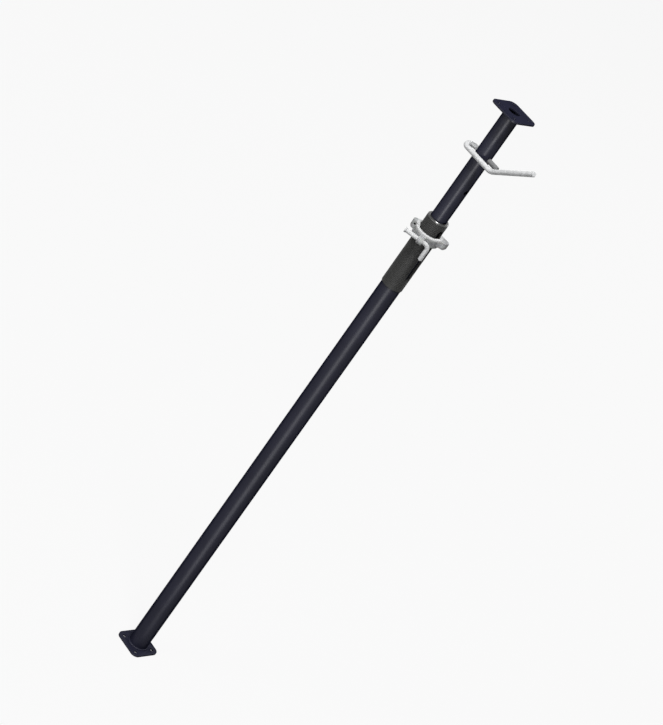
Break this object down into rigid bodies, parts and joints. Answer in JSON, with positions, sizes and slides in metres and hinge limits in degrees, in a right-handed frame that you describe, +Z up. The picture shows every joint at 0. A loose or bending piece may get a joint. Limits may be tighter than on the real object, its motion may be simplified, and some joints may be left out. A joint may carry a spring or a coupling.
{
  "type": "adjustable steel prop",
  "caption": "Telescopic steel prop with square end plates, a slotted threaded sleeve, an adjusting nut with a swinging handle, and a hooked locking pin.",
  "frame": {"origin": "middle of the base plate's underside, on the prop's axis", "axes": "+Z up the prop towards the head plate; X along the locking pin and across the sleeve's slots, square to the end plates' sides, with the pin's hooked bend on the -X side and its tip and raised tail on the +X side; the pin's outer leg is on the -Y side, and the nut's ears and handle are turned 29 degrees about +Z from X"},
  "size_m": [0.2577, 0.1318, 2.12],
  "materials": {
    "paint": "dark navy paint, semi-gloss",
    "sleeve_steel": "dark oiled steel with a cut thread",
    "zinc_casting": "galvanised casting, light grey",
    "zinc_steel": "galvanised round bar, light grey"
  },
  "bodies": {
    "outer": {"base_plate": "paint", "base_weld": "paint", "outer_tube": "paint", "sleeve_weld": "paint", "threaded_sleeve": "sleeve_steel"},
    "inner": {"inner_tube": "paint", "top_weld": "paint", "top_plate": "paint"},
    "nut": {"adjusting_nut": "zinc_casting"},
    "handle": {"nut_handle": "zinc_steel"},
    "pin": {"locking_pin": "zinc_steel"}
  },
  "joints": [
    {"name": "inner_slide", "type": "slide", "parent": "outer", "child": "inner", "axis": [0, 0, 1], "range_m": [0, 1.58]},
    {"name": "nut_travel", "type": "slide", "parent": "outer", "child": "nut", "axis": [0, 0, 1], "range_m": [-0.164, 0.05]},
    {"name": "handle_swing", "type": "hinge", "parent": "nut", "child": "handle", "pos_m": [0.02113, -0.04637, 1.6765], "axis": [-0.8746, -0.4848, 0], "range_deg": [-8, 180]},
    {"name": "pin_pull", "type": "slide", "parent": "inner", "child": "pin", "axis": [-1, 0, 0], "range_m": [0, 0.11]}
  ]
}
